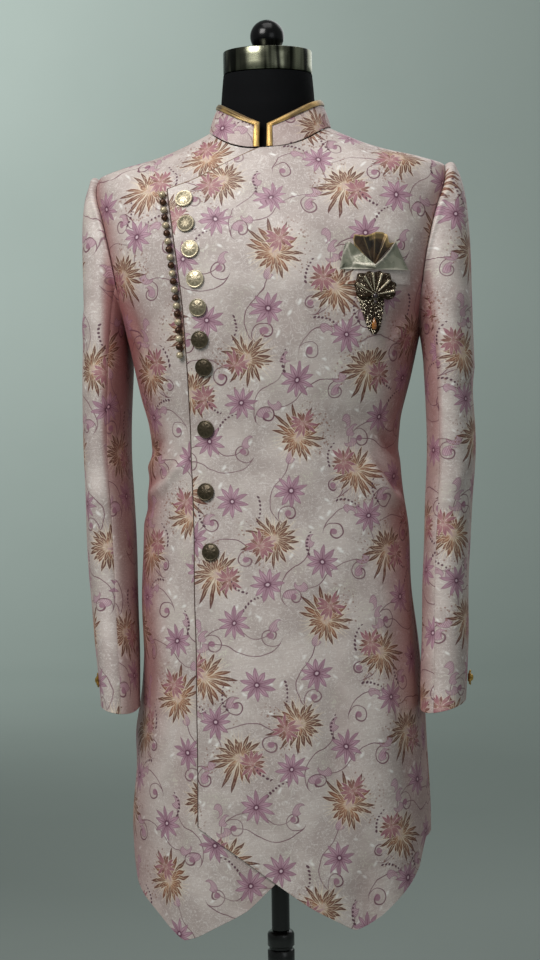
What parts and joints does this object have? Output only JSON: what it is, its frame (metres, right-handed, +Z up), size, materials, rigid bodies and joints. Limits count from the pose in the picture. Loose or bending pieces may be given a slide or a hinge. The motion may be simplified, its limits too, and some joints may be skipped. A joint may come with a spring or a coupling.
{
  "type": "sherwani coat on a limbless dress form",
  "caption": "Knee-length stand-collar sherwani in floral brocade with a slanting side closure and pointed hems, filled out on a black dress form with a pole and a round base.",
  "frame": {"origin": "on the floor, under the middle of the round base and on the pole's axis", "axes": "+Z up along the pole, the coat's front faces -Y, the wearer's left side is +X"},
  "size_m": [0.4926, 0.34, 1.6311],
  "materials": {
    "brocade": "blush satin jacquard brocade with a printed mauve and rust flower pattern",
    "satin_binding": "bronze gold satin binding",
    "piping": "dark brown corded piping",
    "satin_square": "pleated champagne and bronze satin",
    "antique_brass": "antique brass, domed and engraved",
    "bead_brass": "small antique brass ball buttons",
    "brooch_gold": "antique gold, set with dark stones and an amber drop",
    "cuff_gold": "polished gold flower button",
    "form_jersey": "black jersey over a smooth hard form",
    "cap_chrome": "polished chrome neck cap",
    "gloss_black": "gloss black knob and clamp collar",
    "pole_black": "gloss black painted steel tube",
    "base_black": "satin black painted steel"
  },
  "bodies": {
    "root": {"back_left": "brocade", "back_right": "brocade", "bead_01": "bead_brass", "bead_02": "bead_brass", "bead_03": "bead_brass", "bead_04": "bead_brass", "bead_05": "bead_brass", "bead_06": "bead_brass", "bead_07": "bead_brass", "bead_08": "bead_brass", "bead_09": "bead_brass", "bead_10": "bead_brass", "bead_11": "bead_brass", "bead_12": "bead_brass", "bead_13": "bead_brass", "bead_14": "bead_brass", "bead_15": "bead_brass", "bead_16": "bead_brass", "bead_17": "bead_brass", "bead_18": "bead_brass", "bead_19": "bead_brass", "bead_20": "bead_brass", "bead_21": "bead_brass", "brooch_fan": "brooch_gold", "brooch_mesh": "brooch_gold", "button_01": "antique_brass", "button_02": "antique_brass", "button_03": "antique_brass", "button_04": "antique_brass", "button_05": "antique_brass", "button_06": "antique_brass", "button_07": "antique_brass", "button_08": "antique_brass", "button_09": "antique_brass", "button_10": "antique_brass", "collar": "brocade", "collar_binding": "satin_binding", "cuff_button_left": "cuff_gold", "cuff_button_right": "cuff_gold", "flap_piping": "piping", "form_body": "form_jersey", "form_cap": "cap_chrome", "form_knob": "gloss_black", "front_left": "brocade", "front_right": "brocade", "pocket_square": "satin_square", "pocket_welt": "brocade", "sleeve_left_under": "brocade", "sleeve_left_upper": "brocade", "sleeve_right_under": "brocade", "sleeve_right_upper": "brocade", "stand_base": "base_black", "stand_collar": "gloss_black", "stand_pole": "pole_black", "stand_tube": "pole_black"}
  },
  "joints": []
}
